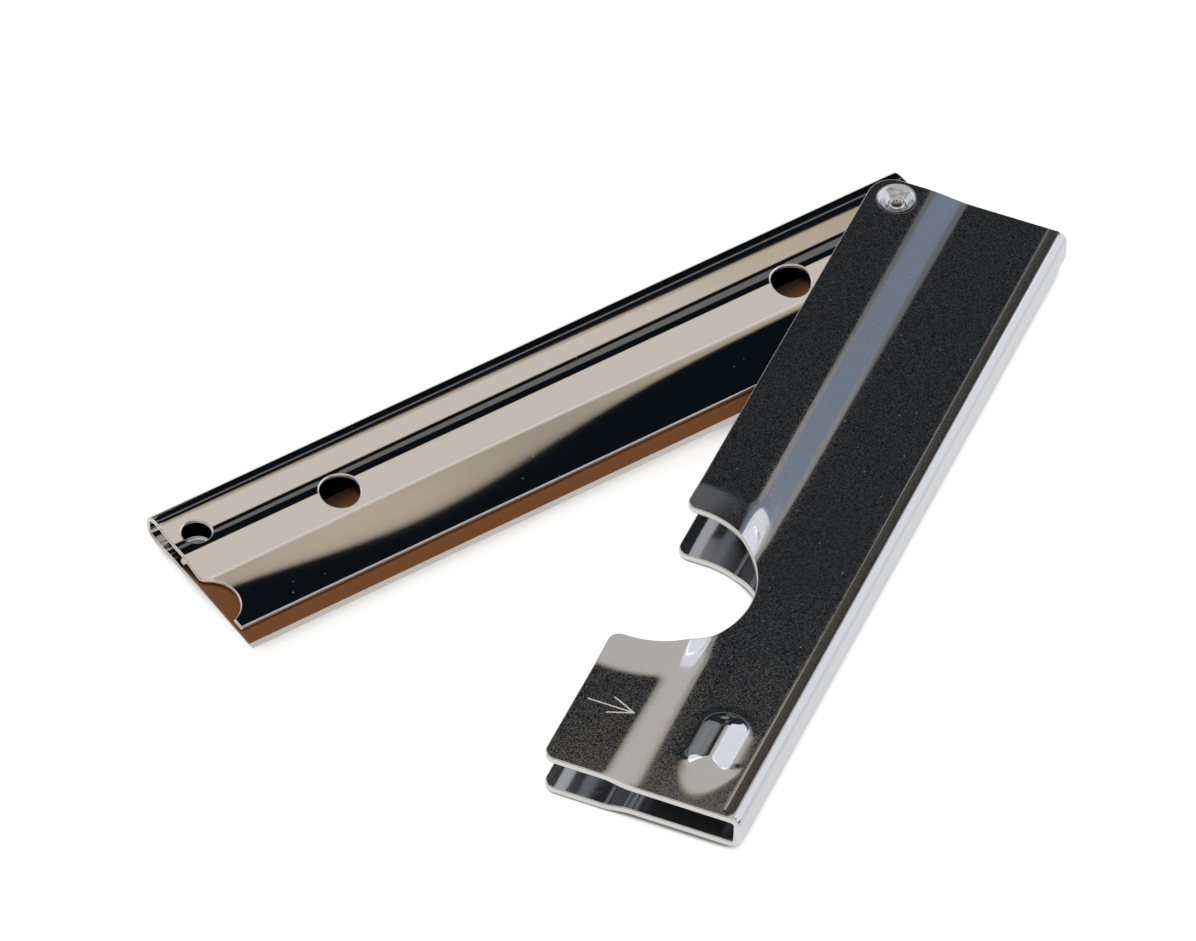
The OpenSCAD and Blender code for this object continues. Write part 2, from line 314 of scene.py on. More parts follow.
def cover_place(flat, depth):
    """Puts points of the cover's flat pattern in place, at a depth below the outer face."""
    x, w = flat[:, 0], flat[:, 1]
    lower = w > COVER_RUN / 2
    w = np.where(lower, COVER_RUN - w, w)
    s = np.minimum(w, FLAT_RUN)
    turn = np.clip((w - FLAT_RUN) / BEND_RUN, 0, 1) * math.pi / 2
    down = np.maximum(w - FLAT_RUN - BEND_RUN, 0)
    r = WALL_OUT_R - depth
    y = OPEN_Y + s + r * np.sin(turn)
    on_sheet = w < FLAT_RUN
    step = joggle(x, s, depth, lower)
    z = np.where(on_sheet, STRIP_TOP - depth - JOGGLE_STEP * step,
                 WALL_BEND_Z + r * np.cos(turn) - down)
    z += np.where(on_sheet, bowl(np.hypot(x - PIVOT_X, y), depth), 0)
    if depth < COVER_SHEET / 2:
        z += np.where(on_sheet, coined(x, s), 0)
    flare = tilted(FLARE_TILT, FLARE_REACH - notch_gap(x, s), FLARE_SOFT) * (1 - step)
    z += np.where(on_sheet & ~lower, flare + bump(x, y), 0)
    z = np.where(lower, -z, z)
    return np.stack([x, y, MID_Z + z], 1)


def open_edge(notch_x, notch_s):
    """One open edge of the cover in the plan, from the pivot end to the open end."""
    half = COVER_LEN / 2
    return [
        arc(-half + PIVOT_CORNER_R, PIVOT_CORNER_R, PIVOT_CORNER_R, 180, 270),
        arc(notch_x - NOTCH_R - NOTCH_CORNER_R, NOTCH_CORNER_R, NOTCH_CORNER_R, 270, 360),
        arc(notch_x, notch_s, NOTCH_R, 180, 0),
        arc(notch_x + NOTCH_R + NOTCH_CORNER_R, NOTCH_CORNER_R, NOTCH_CORNER_R, 180, 270),
        arc(half - END_CORNER_R, END_CORNER_R, END_CORNER_R, 270, 360),
    ]


def spread(*runs):
    """Row places from runs of (from, to, step)."""
    return np.concatenate([np.arange(a, b - 1e-9, step) for a, b, step in runs])


def grid(columns, rows):
    """All crossings of columns and rows."""
    x, y = np.meshgrid(columns, rows)
    return np.stack([x.ravel(), y.ravel()], 1)


upper_edge = open_edge(NOTCH_X, NOTCH_S)
lower_edge = open_edge(NOTCH_X + LOW_NOTCH_SHIFT, NOTCH_S + LOW_NOTCH_DEEPER)
opposite = [np.stack([run[:, 0], COVER_RUN - run[:, 1]], 1)[::-1] for run in lower_edge[::-1]]
cover_outline = closed_outline(upper_edge + opposite)
FIRST_ROW = 0.3
SHEET_ROW = 0.45
STEP_FIELD = (6.6, 11.0)
STEP_ROW = 0.15
COLUMN = 0.5
BEND_ROWS = 13
WALL_ROWS = 5
PIVOT_FIELD = 0.45
RING_FROM = 0.78
RING_PAST = 0.3
RING_GAP = 0.1
RING_SIDE = 0.2
BUMP_GRID = 0.16
half_rows = spread((FIRST_ROW, STEP_FIELD[0], SHEET_ROW), (*STEP_FIELD, STEP_ROW),
                   (STEP_FIELD[1], COIN_FROM - COIN_EDGE, SHEET_ROW))
coin_rows = [COIN_FROM - COIN_ROW, COIN_FROM + COIN_ROW, (COIN_FROM + COIN_TO) / 2,
             COIN_TO - COIN_ROW, COIN_TO + COIN_ROW]
half_rows = np.concatenate([half_rows, coin_rows])
bend_rows = FLAT_RUN + BEND_RUN * np.linspace(0, 1, BEND_ROWS)
wall_rows = FLAT_RUN + BEND_RUN + WALL_RUN * np.linspace(0.1, 0.9, WALL_ROWS)
rows = np.concatenate([half_rows, bend_rows, wall_rows, COVER_RUN - bend_rows, COVER_RUN - half_rows])
pattern = grid(np.arange(-COVER_LEN / 2 + FIRST_ROW, COVER_LEN / 2, COLUMN), rows)
bump_s = BUMP_Y - OPEN_Y
field_x = BUMP_FIELD[0]
field_s = np.add(bump_s, BUMP_FIELD[1])
on_bump = (np.abs(pattern[:, 0] - np.mean(field_x)) < np.ptp(field_x) / 2)
on_bump &= np.abs(pattern[:, 1] - bump_s) < np.ptp(field_s) / 2
pivots = [(PIVOT_X, -OPEN_Y), (PIVOT_X, COVER_RUN + OPEN_Y)]
at_pivot = np.zeros(len(pattern), bool)
rings = []
for px, pw in pivots:
    at_pivot |= np.hypot(pattern[:, 0] - px, pattern[:, 1] - pw) < BOWL_R + PIVOT_FIELD
    radii = [*np.arange(RING_FROM, BOWL_R + RING_PAST, RING_GAP), NECK_R - NECK_STEP, NECK_R + NECK_STEP]
    rings += [ring(px, pw, r, RING_SIDE) for r in radii]
pattern = np.concatenate([
    pattern[~on_bump & ~at_pivot], *rings,
    grid(np.arange(*field_x, BUMP_GRID), np.arange(*field_s, BUMP_GRID))])


def node(tree, kind, **values):
    """A node with its settings, whose inputs are set by name."""
    made = tree.nodes.new(kind)
    for key, value in values.items():
        if key in made.inputs:
            made.inputs[key].default_value = value
        else:
            setattr(made, key, value)
    return made


def maths(tree, operation, first, second=0.0):
    """A maths node on two values or sockets; gives its output socket."""
    made = node(tree, "ShaderNodeMath", operation=operation)
    for socket, value in zip(made.inputs, (first, second)):
        if isinstance(value, (int, float)):
            socket.default_value = value
        else:
            tree.links.new(value, socket)
    return made.outputs[0]


def ramp(tree, value, low, high, start=0.0, end=1.0):
    """A soft step of a value between two places; gives its output socket."""
    made = node(tree, "ShaderNodeMapRange", interpolation_type="SMOOTHSTEP")
    for name, number in (("From Min", low), ("From Max", high), ("To Min", start), ("To Max", end)):
        made.inputs[name].default_value = number
    tree.links.new(value, made.inputs["Value"])
    return made.outputs[0]


def stretched(tree, vector, scale, **values):
    """Noise over a vector that is scaled along each axis; gives the noise's value."""
    wide = node(tree, "ShaderNodeVectorMath", operation="MULTIPLY")
    tree.links.new(vector, wide.inputs[0])
    wide.inputs[1].default_value = scale
    noise = node(tree, "ShaderNodeTexNoise", Scale=1.0, **values)
    tree.links.new(wide.outputs[0], noise.inputs["Vector"])
    return noise.outputs["Fac"]


def new_group(name, inputs, outputs):
    """A shader node group with a vector input, further value inputs and value outputs."""
    group = bpy.data.node_groups.new(name, "ShaderNodeTree")
    group.interface.new_socket("Vector", in_out="INPUT", socket_type="NodeSocketVector")
    for socket in inputs:
        group.interface.new_socket(socket, in_out="INPUT", socket_type="NodeSocketFloat")
    for socket in outputs:
        group.interface.new_socket(socket, in_out="OUTPUT", socket_type="NodeSocketFloat")
    return group, group.nodes.new("NodeGroupInput").outputs, group.nodes.new("NodeGroupOutput").inputs


SPECKS_PER_MM = 2.5
SPECK_RADII = (0.08, 0.26)
SPECK_SOFT = 0.1
specks, given, put = new_group("specks", ["Share"], ["Mask"])
dots = node(specks, "ShaderNodeTexVoronoi", Scale=SPECKS_PER_MM)
specks.links.new(given["Vector"], dots.inputs["Vector"])
chance = node(specks, "ShaderNodeSeparateColor")
specks.links.new(dots.outputs["Color"], chance.inputs[0])
chosen = maths(specks, "LESS_THAN", chance.outputs["Red"], given["Share"])
dot_radius = ramp(specks, chance.outputs["Green"], 0.0, 1.0, *SPECK_RADII)
past_dot = maths(specks, "SUBTRACT", dots.outputs["Distance"], dot_radius)
dot = ramp(specks, past_dot, -SPECK_SOFT, 0.0, 1.0, 0.0)
specks.links.new(maths(specks, "MULTIPLY", chosen, dot), put["Mask"])

RUB_ALONG = (0.05, 9.0, 9.0)
RUB_ACROSS = (9.0, 0.16, 0.16)
rubbing, given, put = new_group("rubbing", ["Along", "Across"], ["Height"])
lines = stretched(rubbing, given["Vector"], RUB_ALONG, Detail=3.0, Roughness=0.7)
cross = stretched(rubbing, given["Vector"], RUB_ACROSS, Detail=3.0, Roughness=0.7)
rubbing.links.new(maths(rubbing, "ADD", maths(rubbing, "MULTIPLY", lines, given["Along"]),
                        maths(rubbing, "MULTIPLY", cross, given["Across"])), put["Height"])


def new_material(name, colour, metallic, roughness):
    """A node material with its constants set; gives the material, its tree and its shader."""
    material = bpy.data.materials.new(name)
    material.use_nodes = True
    shader = material.node_tree.nodes["Principled BSDF"]
    shader.inputs["Base Color"].default_value = (*colour, 1)
    shader.inputs["Metallic"].default_value = metallic
    shader.inputs["Roughness"].default_value = roughness
    return material, material.node_tree, shader


def in_mm(tree, turn=0.0):
    """Object coordinates in millimetres from the pivot, turned to a piece's own length."""
    place = node(tree, "ShaderNodeTexCoord").outputs["Object"]
    mapping = node(tree, "ShaderNodeMapping", vector_type="TEXTURE")
    mapping.inputs["Location"].default_value = (PIVOT_X * MM, 0, 0)
    mapping.inputs["Rotation"].default_value = (0, 0, turn)
    mapping.inputs["Scale"].default_value = (MM, MM, MM)
    tree.links.new(place, mapping.inputs["Vector"])
    return mapping.outputs[0]


def from_pivot(tree, vector):
    """Distance from the axis of the pivot; gives its output socket."""
    plan = node(tree, "ShaderNodeVectorMath", operation="MULTIPLY")
    plan.inputs[1].default_value = (1, 1, 0)
    tree.links.new(vector, plan.inputs[0])
    distance = node(tree, "ShaderNodeVectorMath", operation="LENGTH")
    tree.links.new(plan.outputs[0], distance.inputs[0])
    return distance.outputs["Value"]


def use_group(tree, group, vector, **values):
    """A group placed in a material with its vector and values; gives its output socket."""
    made = node(tree, "ShaderNodeGroup", node_tree=group)
    tree.links.new(vector, made.inputs["Vector"])
    for key, value in values.items():
        if isinstance(value, (int, float)):
            made.inputs[key].default_value = value
        else:
            tree.links.new(value, made.inputs[key])
    return made.outputs[0]


def bumped(tree, shader, height, depth):
    """Feeds a height to a shader's normal, with its depth in micrometres."""
    relief = node(tree, "ShaderNodeBump", Strength=1.0, Distance=depth * 1e-6)
    tree.links.new(height, relief.inputs["Height"])
    tree.links.new(relief.outputs[0], shader.inputs["Normal"])


NICKEL = (0.61, 0.625, 0.65)
NICKEL_GRAIN = (6.0, 6.0, 6.0)
NICKEL_GLOSS = (0.05, 0.11)
NICKEL_PURE = (0.99, 0.93)
NICKEL_SPECKS = 0.022
SPECK_DULL = 0.34
PRESSED_DULL = 0.26
PRESSED_FADE = (0.85 * BOWL_R, 1.1 * BOWL_R)
nickel, tree, shader = new_material("cover_nickel", NICKEL, 0.96, 0.08)
at = in_mm(tree)
mask = use_group(tree, specks, at, Share=NICKEL_SPECKS)
pressed = ramp(tree, from_pivot(tree, at), *PRESSED_FADE, PRESSED_DULL, NICKEL_GLOSS[0])
grain = stretched(tree, at, NICKEL_GRAIN, Detail=2.0)
grained = ramp(tree, grain, 0.35, 0.65, *NICKEL_GLOSS)
dull = maths(tree, "MAXIMUM", grained, maths(tree, "MULTIPLY", mask, SPECK_DULL))
tree.links.new(maths(tree, "MAXIMUM", pressed, dull), shader.inputs["Roughness"])
tree.links.new(ramp(tree, grain, 0.3, 0.7, *NICKEL_PURE), shader.inputs["Metallic"])
bumped(tree, shader, use_group(tree, rubbing, at, Along=0.6, Across=0.15), depth=0.2)

CUT_STEEL = (0.76, 0.74, 0.71)
CUT_GLOSS = (0.35, 0.6)
cut, tree, shader = new_material("cut_edge", CUT_STEEL, 1.0, 0.4)
mask = use_group(tree, specks, in_mm(tree), Share=0.5)
tree.links.new(ramp(tree, mask, 0.0, 1.0, *CUT_GLOSS), shader.inputs["Roughness"])
bumped(tree, shader, mask, depth=8.0)

# Painted shade: the coined line is coloured dark for the shade of its groove; the groove itself is only a
# shallow dip.
COINED_SHADE_DARK = (0.145, 0.138, 0.125)
COINED_GRAIN = (6.0, 9.0, 9.0)
COINED_GLOSS = (0.2, 0.5)
coin, tree, shader = new_material("coined_line", COINED_SHADE_DARK, 1.0, 0.35)
at = in_mm(tree)
rough = stretched(tree, at, COINED_GRAIN, Detail=3.0, Roughness=0.7)
tree.links.new(ramp(tree, rough, 0.35, 0.65, *COINED_GLOSS), shader.inputs["Roughness"])
bumped(tree, shader, rough, depth=12.0)


def cover_kind(at):
    """Which finish a cell of the cover's outer face has."""
    s = min(at[1], COVER_RUN - at[1])
    on_line = COIN_FROM - COIN_ROW < s < COIN_TO + COIN_ROW and at[0] < COVER_LEN / 2 - COIN_PLAIN
    return 2 if on_line else 0


cover = sheet_mesh("cover_dressed", cover_outline, [ring(px, pw, BORE_R) for px, pw in pivots],
                   pattern, cover_place, COVER_SHEET, COVER_EDGE_ROUND, [nickel, cut, coin],
                   kind=cover_kind)
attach(cover, "cover_body")
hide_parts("cover")

# Arrow: a plain sign that is etched in the upper sheet of the cover, near its open end.
# It is three fine bright lines that meet at the tip, cut just into the plating.
ARROW_TIP = (38.92, 6.75)
ARROW_TAILS = [(38.93, 1.33), (37.6, 3.9), (40.0, 3.9)]
ARROW_LINE = 0.2
ARROW_SINK = 0.035
ARROW_FACETS = 8
ETCHED_STEEL = (0.9, 0.89, 0.88)


def new_tree(name, inputs):
    """A geometry node tree with named inputs; gives the tree, its input sockets and its output."""
    tree = bpy.data.node_groups.new(name, "GeometryNodeTree")
    tree.interface.new_socket("Geometry", in_out="INPUT", socket_type="NodeSocketGeometry")
    for socket, kind in inputs:
        tree.interface.new_socket(socket, in_out="INPUT", socket_type=kind)
    tree.interface.new_socket("Geometry", in_out="OUTPUT", socket_type="NodeSocketGeometry")
    return tree, tree.nodes.new("NodeGroupInput").outputs, tree.nodes.new("NodeGroupOutput").inputs


def chain(tree, kind, geometry, **values):
    """A node that takes a geometry, with values or sockets for its inputs; gives its output socket."""
    made = tree.nodes.new(kind)
    tree.links.new(geometry, made.inputs[0])
    for key, value in values.items():
        socket = made.inputs[key.replace("_", " ")]
        if hasattr(value, "is_output"):
            tree.links.new(value, socket)
        else:
            socket.default_value = value
    return made.outputs[0]


def grown(name, points, edges, tree, **values):
    """A plain mesh piece made by a geometry node tree from a few points and edges."""
    mesh = bpy.data.meshes.new(name)
    mesh.from_pydata([Vector(p) * MM for p in points], edges, [])
    seed = bpy.data.objects.new(name + "_seed", mesh)
    bpy.context.scene.collection.objects.link(seed)
    modifier = seed.modifiers.new(name, "NODES")
    modifier.node_group = tree
    for socket in tree.interface.items_tree:
        if socket.in_out == "INPUT" and socket.name in values:
            modifier[socket.identifier] = values[socket.name]
    bpy.context.view_layer.update()
    evaluated = seed.evaluated_get(bpy.context.evaluated_depsgraph_get())
    shaped = bpy.data.meshes.new_from_object(evaluated)
    shaped.name = name
    seed.modifiers.remove(modifier)
    bpy.data.objects.remove(seed)
    piece = bpy.data.objects.new(name, shaped)
    bpy.context.scene.collection.objects.link(piece)
    return piece


strokes, given, put = new_tree("strokes", [
    ("Width", "NodeSocketFloat"), ("Material", "NodeSocketMaterial")])
stroke = chain(strokes, "GeometryNodeMeshToCurve", given["Geometry"])
circle = node(strokes, "GeometryNodeCurvePrimitiveCircle", Resolution=ARROW_FACETS)
strokes.links.new(maths(strokes, "MULTIPLY", given["Width"], 0.5), circle.inputs["Radius"])
solid = chain(strokes, "GeometryNodeCurveToMesh", stroke, Profile_Curve=circle.outputs[0], Fill_Caps=True)
solid = chain(strokes, "GeometryNodeRealizeInstances", solid)
strokes.links.new(chain(strokes, "GeometryNodeSetMaterial", solid, Material=given["Material"]), put[0])
points = []
for x, s in [ARROW_TIP, *ARROW_TAILS]:
    z = cover_place(np.array([(x, s)]), 0.0)[0][2] - ARROW_SINK
    points.append((x, OPEN_Y + s, z))
etched, tree, shader = new_material("etched_line", ETCHED_STEEL, 0.4, 0.6)
arrow = grown("arrow_mark", points, [(0, 1), (0, 2), (0, 3)], strokes,
              Width=ARROW_LINE * MM, Material=etched)
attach(arrow, "cover_body")

# Rivet: a hollow steel rivet drawn from tube, nickel plated, which ties the two bowls of the cover.
# Its ends are rolled over on the floors of the bowls, so it is fixed in the cover.
RIVET_R = 0.6
RIVET_BORE_R = 0.35
RIVET_HEAD_R = 0.95
RIVET_HEAD_T = 0.25
LIP_ROLL_R = 0.18
LIP_ROLL_TURN = 165
LIP_ROLL_STEP = 0.03
LIP_TUCK = 0.06
RIVET_CUP_R = 0.5
RIVET_CUP = 0.6
RIVET_FACETS = 64
ON_AXIS = 1e-6
HEAD_BASE = STRIP_TOP - BOWL_DEPTH
lathe, given, put = new_tree("lathe", [("Facets", "NodeSocketInt"), ("Material", "NodeSocketMaterial")])
profile = chain(lathe, "GeometryNodeMeshToCurve", given["Geometry"])
circle = node(lathe, "GeometryNodeCurvePrimitiveCircle", Radius=ON_AXIS)
lathe.links.new(given["Facets"], circle.inputs["Resolution"])
turned = chain(lathe, "GeometryNodeCurveToMesh", circle.outputs[0], Profile_Curve=profile)
turned = chain(lathe, "GeometryNodeSetShadeSmooth", turned)
turned = chain(lathe, "GeometryNodeRealizeInstances", turned)
lathe.links.new(chain(lathe, "GeometryNodeSetMaterial", turned, Material=given["Material"]), put[0])
lip = (RIVET_HEAD_R - LIP_ROLL_R, HEAD_BASE + RIVET_HEAD_T - LIP_ROLL_R)
head = [np.array([(RIVET_R, HEAD_BASE), (RIVET_HEAD_R - LIP_TUCK, HEAD_BASE)]),
        arc(*lip, LIP_ROLL_R, 0, LIP_ROLL_TURN, LIP_ROLL_STEP),
        np.array([(RIVET_CUP_R, HEAD_BASE - RIVET_CUP), (RIVET_BORE_R, HEAD_BASE - RIVET_CUP)])]
upper = np.concatenate(head)
outline = np.concatenate([upper, (upper * (1, -1))[::-1]])


def two_colours(tree, factor, first, second):
    """A mix of two colours, or of a socket and a colour, by a mask; gives its output socket."""
    mix = node(tree, "ShaderNodeMix", data_type="RGBA")
    tree.links.new(factor, mix.inputs["Factor"])
    for socket, colour in (("A", first), ("B", second)):
        if isinstance(colour, tuple):
            mix.inputs[socket].default_value = (*colour, 1)
        else:
            tree.links.new(colour, mix.inputs[socket])
    return mix.outputs["Result"]


RIVET_NICKEL = (0.78, 0.76, 0.74)
# Painted shade: the dark colour of the rivet's hollow, where it lies in shadow.
RIVET_BORE_SHADE = (0.07, 0.065, 0.06)
RIVET_GLOSS = (0.18, 0.5)
plated, tree, shader = new_material("rivet_nickel", RIVET_NICKEL, 1.0, 0.22)
at = in_mm(tree)
mask = use_group(tree, specks, at, Share=0.5)
tree.links.new(ramp(tree, mask, 0.0, 1.0, *RIVET_GLOSS), shader.inputs["Roughness"])
# Painted shade: the rivet turns dark towards its axis, inside the cup and the bore.
painted_bore_shade = ramp(tree, from_pivot(tree, at), RIVET_CUP_R, RIVET_R, 1.0, 0.0)
tree.links.new(two_colours(tree, painted_bore_shade, RIVET_NICKEL, RIVET_BORE_SHADE), shader.inputs["Base Color"])
count = len(outline)
loop_edges = [(i, (i + 1) % count) for i in range(count)]
rivet = grown("rivet_dressed", [(x, y, 0) for x, y in outline], loop_edges, lathe,
              Facets=RIVET_FACETS, Material=plated)
rivet.data.transform(Matrix.Translation(Vector((PIVOT_X, 0, MID_Z)) * MM))
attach(rivet, "cover_body")
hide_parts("rivet")

# Holder: one sheet of 0.5 mm steel folded at the spine, nickel plated, hung on the necks of the bowls.
# It is rolled to a strip, a valley, a ridge and a slope down to the flats that clamp the blade.
# A hole at each end, two windows in the upper sheet and a thumb notch in the upper lip are punched.
OPEN_ANGLE = math.radians(33.5)
HOLDER_FROM = -3.2
HOLDER_TO = 96.4
HOLDER_SHEET = 0.5
SPINE_Y = -5.4
LIP_Y = 14.2
SPINE_R = 1.72
SPINE_REACH = 2.35
SPINE_POWER = 0.65
SPINE_BEND_Y = SPINE_Y + SPINE_REACH
CLAMP_Z = 0.68
STRIP = (-2.5, 1.702)
VALLEY = (0.4, 1.44)
RIDGE = (1.5, 1.52)
BROW = (2.5, 1.52)
FOOT_Y = SPINE_Y + 11.4
HOLE_R = 1.65
HOLE_END = 3.2
WINDOW_R = 2.25
WINDOWS = (16.6, 76.6)
WINDOW_Y = 3.1
THUMB_R = 3.6
THUMB_OUT = 1.3
THUMB_LIP = 4.9
THUMB_SOFT = 1.2
CLAMP_TILT = 0.035
CLAMP_TWIST = 0.0006
CLAMP_MIDDLE = 28.0
CLAMP_SPREAD = 24.0
CLAMP_EDGE = 1.28
CLAMP_BULGE = 4.5
CLAMP_SOFT = (0.2, 0.5)
HOLDER_EDGE_ROUND = 0.2
HOLDER_BENDS = [0.55, 0.4, 0.3, 0.3, 0.4]
HOLDER_FLAT = LIP_Y - SPINE_BEND_Y
SPINE_RUN = math.pi * (SPINE_REACH + SPINE_R - HOLDER_SHEET) / 2
HOLDER_RUN = 2 * HOLDER_FLAT + SPINE_RUN


def clamp_rise(x, y):
    """Rise of the clamping flat towards the foot of the slope, where the sheet springs open."""
    from_free = HOLDER_TO - x
    bulge = np.exp(-((from_free - CLAMP_MIDDLE) / CLAMP_SPREAD) ** 2)
    edge = FOOT_Y + CLAMP_EDGE + CLAMP_BULGE * bulge
    soft = CLAMP_SOFT[0] + CLAMP_SOFT[1] * bulge
    return tilted(CLAMP_TILT + CLAMP_TWIST * from_free, edge - y, soft)


holder_path = eased_path(
    [(SPINE_BEND_Y, SPINE_R), STRIP, VALLEY, RIDGE, BROW, (FOOT_Y, CLAMP_Z), (LIP_Y, CLAMP_Z)],
    HOLDER_BENDS)


def holder_height(x, y):
    """Height of the upper sheet's outer face over the middle plane."""
    plain = np.interp(y, holder_path[:, 0], holder_path[:, 1])
    share = np.clip((y - BROW[0]) / (FOOT_Y - BROW[0]), 0, 1)
    foot = clamp_rise(x, np.full_like(y, FOOT_Y))
    return plain + np.where(y > FOOT_Y, clamp_rise(x, y), foot * share)


def holder_place(flat, depth):
    """Puts points of the holder's flat pattern in place, at a depth below the outer face."""
    x, w = flat[:, 0], flat[:, 1]
    lower = w > HOLDER_RUN / 2
    along = np.where(lower, HOLDER_RUN - w, w)
    y = LIP_Y - np.minimum(along, HOLDER_FLAT)
    turn = np.clip((w - HOLDER_FLAT) / SPINE_RUN, 0, 1) * math.pi
    on_spine = along > HOLDER_FLAT
    plain = np.interp(y, holder_path[:, 0], holder_path[:, 1])
    height = np.where(lower, plain, holder_height(x, y)) - depth
    height = np.where(lower, -height, height)
    rise = np.sign(np.cos(turn)) * np.abs(np.cos(turn)) ** SPINE_POWER
    z = np.where(on_spine, (SPINE_R - depth) * rise, height)
    y = np.where(on_spine, SPINE_BEND_Y - (SPINE_REACH - depth) * np.sin(turn), y)
    c, s = math.cos(OPEN_ANGLE), math.sin(OPEN_ANGLE)
    return np.stack([PIVOT_X + c * x + s * y, -s * x + c * y, MID_Z + z], 1)


def holder_edge():
    """The holder's outline in its flat pattern, anticlockwise, with the thumb notch in its free end."""
    soft_x = HOLDER_TO - THUMB_SOFT
    notch_x = HOLDER_TO + THUMB_OUT
    soft_w = THUMB_LIP + math.sqrt((THUMB_R + THUMB_SOFT) ** 2 - (notch_x - soft_x) ** 2)
    meet = math.degrees(math.acos(-THUMB_OUT / THUMB_R))
    leave = math.degrees(math.atan2(soft_w - THUMB_LIP, soft_x - notch_x))
    return [
        np.array([(HOLDER_FROM, 0.0), (HOLDER_TO, 0.0)]),
        arc(notch_x, THUMB_LIP, THUMB_R, 360 - meet, leave),
        arc(soft_x, soft_w, THUMB_SOFT, leave - 180, 0),
        np.array([(HOLDER_TO, HOLDER_RUN), (HOLDER_FROM, HOLDER_RUN)]),
    ]


holder_outline = closed_outline(holder_edge())
BEND_ROW = 0.08
SLOPE_ROW = 0.3
STRIP_ROW = 0.2
SPINE_ROW = 0.07
SPINE_ROWS = 61
HOLDER_COLUMN = 0.6
WIDE_BEND = 0.6
CLOSE_BEND = 0.4
SPINE_GAP = 0.05
foot_from = FOOT_Y - WIDE_BEND
foot_to = FOOT_Y + WIDE_BEND
brow_to = BROW[0] + CLOSE_BEND
valley_from = VALLEY[0] - CLOSE_BEND
strip_to = STRIP[0] + WIDE_BEND
half_rows = LIP_Y - spread(
    (foot_to, LIP_Y - HOLDER_EDGE_ROUND, SHEET_ROW), (foot_from, foot_to, BEND_ROW),
    (brow_to, foot_from, SLOPE_ROW), (valley_from, brow_to, BEND_ROW),
    (strip_to, valley_from, STRIP_ROW), (SPINE_BEND_Y + SPINE_GAP, strip_to, SPINE_ROW))
spine_rows = HOLDER_FLAT + SPINE_RUN * np.linspace(0, 1, SPINE_ROWS)
pattern = grid(np.arange(HOLDER_FROM + FIRST_ROW, HOLDER_TO, HOLDER_COLUMN),
               np.concatenate([half_rows, spine_rows, HOLDER_RUN - half_rows]))
end_x = HOLDER_TO - HOLE_END
holes = [ring(x, LIP_Y, HOLE_R) for x in (0, end_x)]
holes += [ring(x, HOLDER_RUN - LIP_Y, HOLE_R) for x in (0, end_x)]
holes += [ring(x, LIP_Y - WINDOW_Y, WINDOW_R) for x in WINDOWS]
HOLDER_NICKEL = (0.80, 0.77, 0.74)
HOLDER_GLOSS = (0.05, 0.3)
HOLDER_SPECKS = 0.015
# Painted highlight: a pale line along the crease at the foot of the slope, where the bend catches the
# light.
HIGHLIGHT_PALE = (0.93, 0.9, 0.95)
CREASE_Y = FOOT_Y + 0.1
HIGHLIGHT_FADE = (0.04, 0.12)
RUBBED_FADE = (FOOT_Y, FOOT_Y + 1.5)
RUBBED = (0.5, 2.4)
bright, tree, shader = new_material("holder_nickel", HOLDER_NICKEL, 1.0, 0.1)
at = in_mm(tree, -OPEN_ANGLE)
mask = use_group(tree, specks, at, Share=HOLDER_SPECKS)
tree.links.new(ramp(tree, mask, 0.0, 1.0, *HOLDER_GLOSS), shader.inputs["Roughness"])
own = node(tree, "ShaderNodeSeparateXYZ")
tree.links.new(at, own.inputs[0])
# Painted highlight: the holder's colour turns pale within a narrow band along the crease.
from_highlight_line = maths(tree, "ABSOLUTE", maths(tree, "SUBTRACT", own.outputs["Y"], CREASE_Y))
painted_highlight = ramp(tree, from_highlight_line, *HIGHLIGHT_FADE, 1.0, 0.0)
tree.links.new(two_colours(tree, painted_highlight, HOLDER_NICKEL, HIGHLIGHT_PALE), shader.inputs["Base Color"])
rubbed = ramp(tree, own.outputs["Y"], *RUBBED_FADE, *RUBBED)
bumped(tree, shader, use_group(tree, rubbing, at, Along=rubbed, Across=rubbed), depth=0.25)
holder = sheet_mesh("holder_dressed", holder_outline, holes, pattern, holder_place, HOLDER_SHEET,
                    HOLDER_EDGE_ROUND, [bright, cut], flip=True)
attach(holder, "holder_body")
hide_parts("holder")

# Blade: a strip of hardened carbon steel, 100 x 14.5 x 0.3 mm, tempered brown, with one ground edge.
# It slides out of the holder's free end and is held by the pinch of the holder's two flats.
BLADE_LEN = 100.0
BLADE_W = 14.5
BLADE_T = 0.3
BEVEL_W = 0.65
EDGE_LAND = 0.02
EDGE_Y = LIP_Y + 2.7
# Painted shade: the span and the dark colour over which the blade darkens towards its back edge, where it
# lies in shadow under the holder's upper sheet.
BACK_SHADE_FADE = (2.4, 5.6)
OXIDE_BROWN = (0.32, 0.126, 0.043)
OXIDE_STAIN = (0.15, 0.062, 0.028)
BACK_SHADE_DARK = (0.02, 0.009, 0.005)
GROUND_STEEL = (0.72, 0.71, 0.69)
oxide, tree, shader = new_material("blade_oxide", OXIDE_BROWN, 0.55, 0.35)
at = in_mm(tree, -OPEN_ANGLE)
stained = two_colours(tree, use_group(tree, specks, at, Share=0.45), OXIDE_BROWN, OXIDE_STAIN)
own = node(tree, "ShaderNodeSeparateXYZ")
tree.links.new(at, own.inputs[0])
